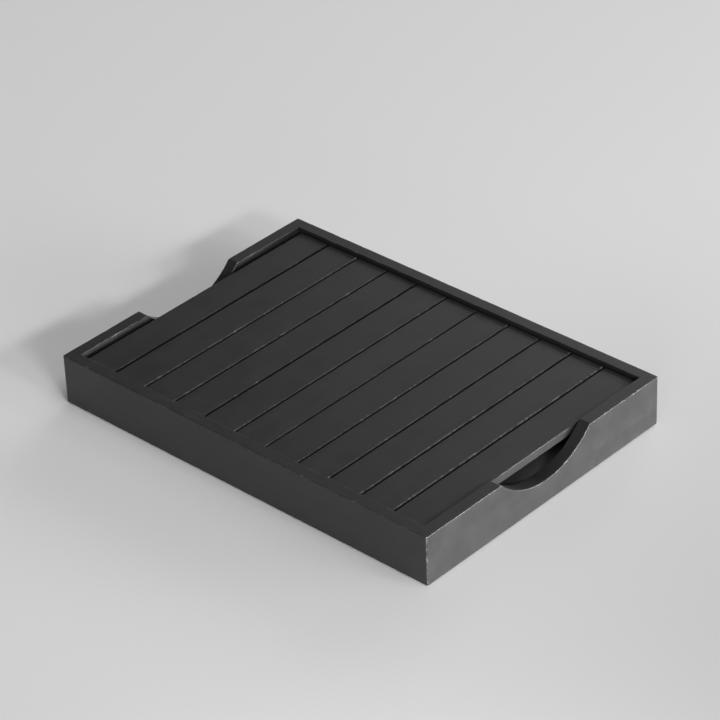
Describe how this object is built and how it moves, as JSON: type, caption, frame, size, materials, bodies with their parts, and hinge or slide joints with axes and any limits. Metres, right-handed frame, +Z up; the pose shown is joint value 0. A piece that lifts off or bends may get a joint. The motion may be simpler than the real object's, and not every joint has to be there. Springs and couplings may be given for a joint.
{
  "type": "gongfu tea tray",
  "caption": "Low black wooden tea tray: a mitred box frame with finger cutouts in its ends, and a slatted deck that lifts out over a shallow drip tray.",
  "frame": {"origin": "middle of the tray's length and width, on the surface that it stands on", "axes": "+X along the length, towards the right end rail; +Y to the back, along the slats; +Z up"},
  "size_m": [0.35, 0.25, 0.0408],
  "materials": {
    "frame_wood": "black stain, satin",
    "deck_wood": "black stain, satin",
    "batten_wood": "black stain, matt",
    "ledge_wood": "black stain, matt",
    "panel_wood": "black stain, matt",
    "spline_wood": "bare",
    "drip_tray_plastic": "fine moulded grain",
    "foot_pad": "matt",
    "screw_steel": "zinc plated"
  },
  "bodies": {
    "frame": {"front_rail": "frame_wood", "back_rail": "frame_wood", "left_end_rail": "frame_wood", "right_end_rail": "frame_wood", "front_left_corner_spline": "spline_wood", "front_right_corner_spline": "spline_wood", "back_left_corner_spline": "spline_wood", "back_right_corner_spline": "spline_wood", "bottom_panel": "panel_wood", "front_left_foot_pad": "foot_pad", "front_right_foot_pad": "foot_pad", "back_left_foot_pad": "foot_pad", "back_right_foot_pad": "foot_pad", "front_ledge": "ledge_wood", "back_ledge": "ledge_wood", "front_ledge_screws": "screw_steel", "back_ledge_screws": "screw_steel"},
    "drip_tray": {"drip_tray": "drip_tray_plastic"},
    "deck": {"slat_01": "deck_wood", "slat_02": "deck_wood", "slat_03": "deck_wood", "slat_04": "deck_wood", "slat_05": "deck_wood", "slat_06": "deck_wood", "slat_07": "deck_wood", "slat_08": "deck_wood", "slat_09": "deck_wood", "slat_10": "deck_wood", "slat_11": "deck_wood", "front_batten": "batten_wood", "back_batten": "batten_wood", "front_batten_screws": "screw_steel", "back_batten_screws": "screw_steel"}
  },
  "joints": [
    {"name": "drip_tray_lift", "type": "slide", "parent": "frame", "child": "drip_tray", "axis": [0, 0, 1], "range_m": [0, 0.06]},
    {"name": "deck_lift", "type": "slide", "parent": "drip_tray", "child": "deck", "axis": [0, 0, 1], "range_m": [0, 0.06]}
  ]
}
